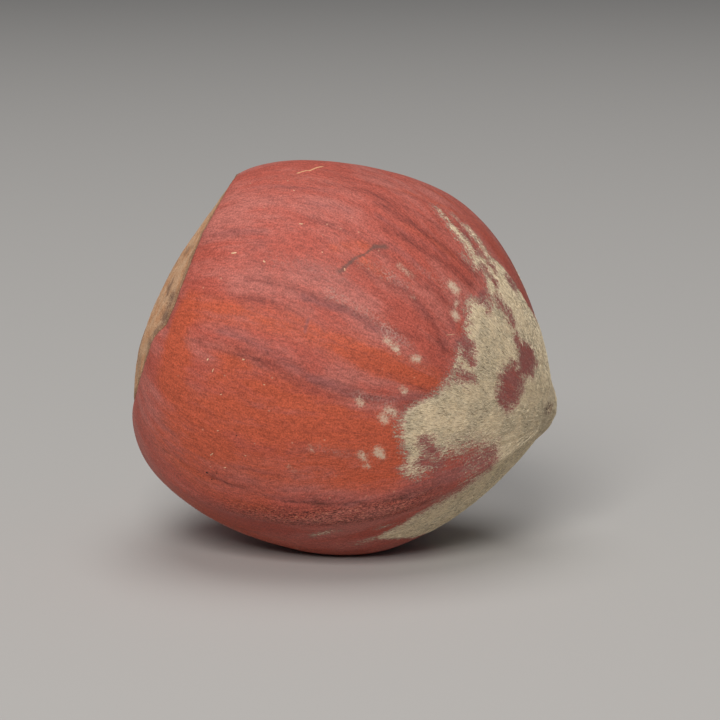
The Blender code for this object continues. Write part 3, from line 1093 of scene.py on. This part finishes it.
def paint_scratches(net, colour, strokes):
    """The dark scratch widens towards both ends, and the pale one is a torn fibre."""
    side, share, far = net.parts(net.attribute("dark line", "Vector"))
    edge = net.plus(net.maths("ABSOLUTE", side), net.step(strokes, 0.3, 0.7, -0.03, 0.04))
    width = net.plus(net.step(share, 0.55, 0.95, 0.07, 0.15), net.step(share, 0.1, 0.4, 0.06, 0.0))
    line = net.step(net.maths("DIVIDE", edge, width), 0.15, 1.6, 0.72, 0.0)
    colour = net.mix(net.times(line, near_line(net, far, share)), colour, GRAPHITE)
    side, share, far = net.parts(net.attribute("pale line", "Vector"))
    edge = net.plus(net.maths("ABSOLUTE", side), net.step(strokes, 0.3, 0.7, -0.02, 0.03))
    line = net.step(edge, 0.02, 0.07, 0.9, 0.0)
    return net.mix(net.times(line, near_line(net, far, share)), colour, TORN)


print("mark colours: 7")

# %% [markdown]
# ## The felt under the hairs
#
# Most of the down is too fine to model hair by hair. It is painted as a felt that ends
# in a speckled fringe: the depth inside the down is stirred with noise, and only what
# is then still positive is covered. Where it is thin, the shell shines through and
# greys it.

# %% Felt
FELT_LIGHT = screen_colour(244, 224, 190)
FELT_DARK = screen_colour(194, 172, 142)
FELT_GREY = screen_colour(184, 172, 148)
# The dark between the felt's strokes: painted shade between the hairs.
FELT_GAP_SHADE = screen_colour(92, 78, 60)
FELT_THIN = screen_colour(176, 142, 128)
RING_DARK = screen_colour(92, 62, 54)
DOWN_ROUGHNESS = 0.95
SHELL_SHINE = 0.25


def lay_felt(net, colour, grain_at, own_at):
    """The down, thin and speckled at its ragged edge."""
    fringe = net.noise(grain_at, (0.16, 0.16, 0.60), 4.0, 0.7, (4.0, 8.0, 1.0))
    powder = net.noise(own_at, 0.09, 3.0, 0.7, (1.0, 7.0, 3.0))
    reach = net.plus(net.attribute("down"), net.step(fringe, 0.25, 0.75, -0.20, 0.20))
    reach = net.plus(reach, net.step(powder, 0.25, 0.75, -0.26, 0.26))
    cover = net.step(reach, -0.18, 0.24)
    strokes = net.noise(grain_at, (0.09, 0.09, 0.34), 4.0, 0.75, (8.0, 3.0, 6.0))
    felt = net.mix(net.step(strokes, 0.36, 0.62), FELT_DARK, FELT_LIGHT)
    grey = net.noise(own_at, 1.6, 3.0, 0.6, (2.0, 5.0, 8.0))
    grey = net.plus(net.step(grey, 0.42, 0.62), net.attribute("streaks"))
    felt = net.lay(felt, FELT_GREY, grey, 0.0, 1.0, 0.5)
    # Where the strokes leave gaps, the felt is darkened: painted shade between the hairs.
    stroke_gap_shade = net.plus(strokes, net.times(grey, -0.08))
    felt = net.lay(felt, FELT_GAP_SHADE, stroke_gap_shade, 0.42, 0.30, 0.8)
    felt = net.mix(net.step(reach, 0.0, 0.42), FELT_THIN, felt)
    dry = net.times(net.attribute("ring"), net.step(powder, 0.38, 0.58, 0.1, 1.0))
    felt = net.lay(felt, RING_DARK, dry, 0.1, 0.9, 0.85)
    return net.mix(cover, colour, felt), cover, strokes, powder


def finish_shell():
    net = Net(shell_paint)
    grain_at = net.attribute("grain", "Vector")
    own_at = net.attribute("own", "Vector")
    colour = paint_ground(net, grain_at)
    colour, speckle, strokes = paint_fine_grain(net, colour, grain_at, own_at)
    colour, scar = paint_marks(net, colour, grain_at, own_at)
    colour = paint_scratches(net, colour, strokes)
    colour, cover, felt_strokes, powder = lay_felt(net, colour, grain_at, own_at)
    polish = net.step(strokes, 0.2, 0.8, 0.52, 0.68)
    polish = net.maths("MAXIMUM", polish, net.times(cover, DOWN_ROUGHNESS))
    net.surface(colour, polish, SHELL_SHINE)
    fine = net.plus(net.times(strokes, 0.8), speckle)
    fine = net.plus(fine, net.times(scar, -2.0))
    fine = net.plus(fine, net.times(cover, net.plus(felt_strokes, powder)))
    net.bump(fine, 0.03, 0.6)
    return len(net.tree.nodes)


print("nodes in the shell's material:", finish_shell())

# %% [markdown]
# ## The disc's material
#
# The scar of the disc is corky: tan and orange-beige grains with grey-brown stains, a
# browner lip beside the shell, and a dark line of painted shade in the step between
# them. It could share the shell's net, but a material of its own keeps both nets readable.

# %% Disc
CORK = screen_colour(216, 174, 138)
CORK_ORANGE = screen_colour(208, 154, 114)
CORK_GREY = screen_colour(128, 102, 86)
# Dark for the cork's grains, and for the painted shade in the step at the rim.
CORK_DARK_AND_STEP_SHADE = screen_colour(96, 68, 52)
CORK_PALE = screen_colour(228, 200, 166)
LIP = screen_colour(150, 114, 86)
DISC_ROUGHNESS = 0.9
DISC_SHINE = 0.15


def finish_disc():
    net = Net(disc_paint)
    own_at = net.attribute("own", "Vector")
    from_edge = net.attribute("from rim")
    grains = net.noise(own_at, 0.085, 3.0, 0.7)
    patches = net.noise(own_at, 0.8, 4.0, 0.65, (3.0, 3.0, 3.0))
    stains = net.noise(own_at, 1.1, 4.0, 0.65, (8.0, 1.0, 5.0))
    colour = net.mix(net.step(patches, 0.42, 0.60), CORK, CORK_ORANGE)
    stained = net.plus(net.step(stains, 0.53, 0.70, 0.0, 0.6), net.attribute("stain"))
    stained = net.times(stained, net.step(patches, 0.30, 0.60, 0.6, 1.1))
    colour = net.lay(colour, CORK_GREY, stained, 0.0, 1.0, 0.85)
    colour = net.mix(net.step(from_edge, 0.20, 0.48, 0.7, 0.0), colour, LIP)
    colour = net.lay(colour, CORK_DARK_AND_STEP_SHADE, grains, 0.52, 0.68, 0.6)
    colour = net.lay(colour, CORK_PALE, grains, 0.46, 0.34, 0.55)
    # A dark line in the step at the rim: painted shade.
    colour = net.mix(net.step(from_edge, 0.01, 0.08, 0.75, 0.0), colour, CORK_DARK_AND_STEP_SHADE)
    net.surface(colour, DISC_ROUGHNESS, DISC_SHINE)
    net.bump(grains, 0.05, 0.8)
    return len(net.tree.nodes)


print("nodes in the disc's material:", finish_disc())

# %% Hang the nut in the frame
pick_out(nut)
bpy.ops.object.shade_smooth_by_angle(angle=math.radians(40.0))
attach(nut, "root")
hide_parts("hazelnut")
triangles = sum(len(face.vertices) - 2 for face in nut.data.polygons)
print("nut, triangles:", triangles)

# %% [markdown]
# ## Stamping many small copies
#
# Hairs and flecks repeat by the thousand. One of each is modelled. Its corners are
# then placed again and again, each time in a small frame of its own on the skin:
# across, up and ahead towards the tip. All copies share one mesh, because tens of
# thousands of objects would be slow.

# %% Frames on the skin, and the stamp
def take_model(piece):
    """Corners in millimetres and faces of a modelled piece, which is then removed."""
    bpy.ops.object.transform_apply(location=True, rotation=True, scale=True)
    points = np.array([corner.co for corner in piece.data.vertices]) / MM
    faces = [list(face.vertices) for face in piece.data.polygons]
    bpy.data.objects.remove(piece)
    return points, faces


def unit(vectors):
    return vectors / np.linalg.norm(vectors, axis=1)[:, None]


def skin_frames(places, up, sway, lift):
    """Across, up and ahead for each place, turned by sway and lifted off the skin."""
    ahead = np.array(tip) - places
    ahead = unit(ahead - up * (ahead * up).sum(axis=1)[:, None])
    side = np.cross(up, ahead)
    turned = ahead * np.cos(sway)[:, None] + side * np.sin(sway)[:, None]
    across = np.cross(up, turned)
    lifted = turned * np.cos(lift)[:, None] + up * np.sin(lift)[:, None]
    return across, np.cross(lifted, across), lifted


def stamp(name, model, places, frames, widths, lengths):
    """One mesh of many copies of a model, whose length lies along its z."""
    points, faces = model
    across, up, ahead = frames
    corners = np.empty((len(places), len(points), 3))
    for number, (x, y, z) in enumerate(points * MM):
        sideways = across * x + up * y
        corners[:, number] = places + sideways * widths[:, None] + ahead * z * lengths[:, None]
    starts = range(0, len(places) * len(points), len(points))
    copies = [[start + corner for corner in face] for start in starts for face in faces]
    mesh = bpy.data.meshes.new(name)
    mesh.from_pydata(corners.reshape(-1, 3).tolist(), [], copies)
    piece = bpy.data.objects.new(name, mesh)
    bpy.context.scene.collection.objects.link(piece)
    return piece


print("frames point to the tip, mm:", [round(side / MM, 1) for side in tip])

# %% [markdown]
# ## The down
#
# The felt is made of short stiff hairs that lie along the shell and point to the tip.
# Paint gives its colour, but the hairs give its edge and its nap, and they break the
# outline. Grown strands would have no body of their own, so one hair is modelled, a
# slim three-sided spike, and then stamped many times.

# %% One hair
HAIR_LENGTH = 0.22
HAIR_RADIUS = 0.013

bpy.ops.object.select_all(action="DESELECT")
bpy.ops.mesh.primitive_cone_add(
    vertices=3,
    radius1=HAIR_RADIUS * MM,
    radius2=0.0,
    depth=HAIR_LENGTH * MM,
    location=(0.0, 0.0, HAIR_LENGTH / 2 * MM),
)
hair = take_model(bpy.context.object)
print("hair: corners", len(hair[0]), "faces", len(hair[1]))

# %% Where the hairs stand
HAIR_COUNT = 47000
SEED = 11
FLOOR_CLEARANCE = 0.3 * MM
FELT_EDGE = 0.2
RING_BARENESS = 0.8

random_draw = np.random.default_rng(SEED)


def scatter(count):
    """Random places on the shell inside the down, evenly spread over its area."""
    mesh = nut.data
    mesh.calc_loop_triangles()
    corners = np.empty(len(mesh.loop_triangles) * 3, np.int32)
    mesh.loop_triangles.foreach_get("vertices", corners)
    corners = corners.reshape(-1, 3)
    downy = down_depth[corners].max(axis=1) > -FELT_EDGE
    corners = corners[downy & on_shell[corners].all(axis=1)]
    sides = shaped[corners]
    area = np.linalg.norm(np.cross(sides[:, 1] - sides[:, 0], sides[:, 2] - sides[:, 0]), axis=1)
    chosen = corners[random_draw.choice(len(corners), count, p=area / area.sum())]
    return chosen, random_draw.dirichlet((1.0, 1.0, 1.0), count)


def blend(values, chosen, shares):
    """A value of the corners, blended at each scattered place."""
    weights = shares.reshape(shares.shape + (1,) * (values.ndim - 1))
    return (values[chosen] * weights).sum(axis=1)


chosen, shares = scatter(2 * HAIR_COUNT)
roots = blend(shaped, chosen, shares)
depths = blend(down_depth, chosen, shares)
fringe = lumps(blend(grain, chosen, shares), (0.16, 0.16, 0.60), 3, 21.0)
chance = ramp(depths + FELT_EDGE * fringe, *PAD_EDGE)
chance *= 1.0 - RING_BARENESS * blend(ring_shade, chosen, shares)
kept = np.flatnonzero(random_draw.random(len(chance)) < chance)
kept = kept[roots[kept, 2] > FLOOR_CLEARANCE][:HAIR_COUNT]
print("hairs:", len(kept))

# %% Lay the hairs down
SUNK = 0.012
LIFTS = (3.0, 13.0)
SWAY = 26.0
HAIR_SPREAD = (0.6, 1.25)

hair_up = unit(blend(outward, chosen[kept], shares[kept]))
hair_sway = np.radians(random_draw.normal(0.0, SWAY, len(kept)))
hair_lift = np.radians(random_draw.uniform(*LIFTS, len(kept)))
hair_frames = skin_frames(roots[kept], hair_up, hair_sway, hair_lift)
hair_places = roots[kept] - hair_up * (SUNK * MM)
hair_lengths = random_draw.uniform(*HAIR_SPREAD, len(kept))
down = stamp("down", hair, hair_places, hair_frames, np.ones(len(kept)), hair_lengths)
tones = np.repeat(random_draw.uniform(0.0, 1.0, len(kept)), len(hair[0]))
store_field(down, "tone", tones)
print("down, faces:", len(down.data.polygons))

# %% Hair colour
HAIR_LIGHT = screen_colour(252, 238, 208)
HAIR_DARK = screen_colour(178, 158, 130)
HAIR_SHINE = 0.1

down_paint = bpy.data.materials.new("down")
down_net = Net(down_paint)
hair_tone = down_net.step(down_net.attribute("tone"), 0.05, 0.50)
down_net.surface(down_net.mix(hair_tone, HAIR_DARK, HAIR_LIGHT), DOWN_ROUGHNESS, HAIR_SHINE)
down.data.materials.append(down_paint)
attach(down, "root")
print("down material:", down_paint.name)

# %% [markdown]
# ## Flecks
#
# A few pale scraps of dry husk and some dark specks stand on the shell. The three dark
# specks by the groove are painted shade: they stand for the shade in small pits.
# Painted dots would lie in the shell, but these stand on it and catch light. Each is
# small, flat and uneven. One is modelled from a ball that is jittered and flattened.

# %% Flecks
FLECKS = (
    # angle, distance, length, width, turn in degrees
    (64.2, 1.99, 0.3, 0.1, 12), (66.4, 3.54, 0.16, 0.08, -30), (37.8, 3.98, 0.1, 0.06, 0),
    (51.3, 4.77, 0.22, 0.07, 10), (102.5, 2.1, 0.14, 0.07, 70), (105.1, 2.45, 0.22, 0.05, 80),
    (98.4, 3.72, 0.14, 0.08, 20), (103.9, 4.98, 0.1, 0.05, 0), (111.4, 3.17, 0.1, 0.05, 40),
    (63.3, 7.34, 0.16, 0.07, -60), (60.1, 6.19, 0.08, 0.05, 0), (123.3, 3.5, 0.1, 0.05, 30),
    (128.6, 4.96, 0.1, 0.05, 0), (72.3, 13.1, 0.8, 0.03, 26), (133, 3.4, 0.26, 0.06, 60),
    (136, 4.2, 0.16, 0.06, 40), (-52, 4.6, 0.22, 0.08, 20), (-75, 6.8, 0.14, 0.07, -40),
    (-96, 3.1, 0.2, 0.07, 60), (-118, 7.7, 0.12, 0.06, 10), (-146, 5.2, 0.18, 0.06, 0),
    (-22, 6.2, 0.16, 0.06, -20), (4, 9.1, 0.14, 0.06, 30), (170, 8.5, 0.16, 0.06, 0),
)
# Dark specks, with the same columns. The first three, by the groove, stand for the shade in small
# pits: painted shade.
SPECKS = (
    (141.1, 3.5, 0.14, 0.09, 10), (143.7, 3.75, 0.1, 0.07, 40), (139.5, 3.9, 0.09, 0.06, 0),
    (31.4, 0.6, 0.08, 0.07, 0), (49.9, 0.35, 0.07, 0.06, 0), (55.2, 0.3, 0.07, 0.06, 0),
    (122.4, 4.4, 0.08, 0.05, 30), (-58, 3, 0.12, 0.08, 10), (-133, 4, 0.1, 0.08, 0),
)
FLECK_THICKNESS = 0.35
FLECK_JITTER = 0.09
FLECK_SEED = 3

bpy.ops.object.select_all(action="DESELECT")
bpy.ops.mesh.primitive_ico_sphere_add(subdivisions=2, radius=0.5 * MM)
bpy.ops.object.mode_set(mode="EDIT")
bpy.ops.mesh.select_all(action="SELECT")
bpy.ops.transform.vertex_random(offset=FLECK_JITTER * MM, seed=FLECK_SEED)
bpy.ops.transform.resize(value=(1.0, FLECK_THICKNESS, 1.0))
bpy.ops.object.mode_set(mode="OBJECT")
fleck = take_model(bpy.context.object)

scraps = FLECKS + SPECKS
fleck_corners = [corner_at(*facts[:2]) for facts in scraps]
fleck_places = shaped[fleck_corners]
fleck_lengths, fleck_widths, fleck_turns = np.array([facts[2:] for facts in scraps]).T
level = np.zeros(len(scraps))
fleck_up = unit(outward[fleck_corners])
fleck_frames = skin_frames(fleck_places, fleck_up, np.radians(fleck_turns), level)
flecks = stamp("flecks", fleck, fleck_places, fleck_frames, fleck_widths, fleck_lengths)
light_flecks = np.repeat([index < len(FLECKS) for index in range(len(scraps))], len(fleck[0]))
store_field(flecks, "tone", light_flecks)
print("flecks:", len(scraps), "faces:", len(flecks.data.polygons))

# %% Fleck colour
FLECK_LIGHT = screen_colour(240, 196, 160)
FLECK_DARK = screen_colour(206, 156, 122)
# The dark of the specks. For the three by the groove it is painted shade of pits.
SPECK_AND_PIT_SHADE = screen_colour(48, 30, 26)
FLECK_GRAIN = 0.05 * MM
FLECK_ROUGHNESS = 0.85
FLECK_SHINE = 0.5

fleck_paint = bpy.data.materials.new("fleck")
fleck_net = Net(fleck_paint)
fleck_noise = fleck_net.noise(fleck_net.object_place(), FLECK_GRAIN)
fleck_colour = fleck_net.mix(fleck_net.step(fleck_noise, 0.35, 0.65), FLECK_DARK, FLECK_LIGHT)
fleck_colour = fleck_net.mix(fleck_net.attribute("tone"), SPECK_AND_PIT_SHADE, fleck_colour)
fleck_net.surface(fleck_colour, FLECK_ROUGHNESS, FLECK_SHINE)
flecks.data.materials.append(fleck_paint)
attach(flecks, "root")
print("fleck material:", fleck_paint.name)
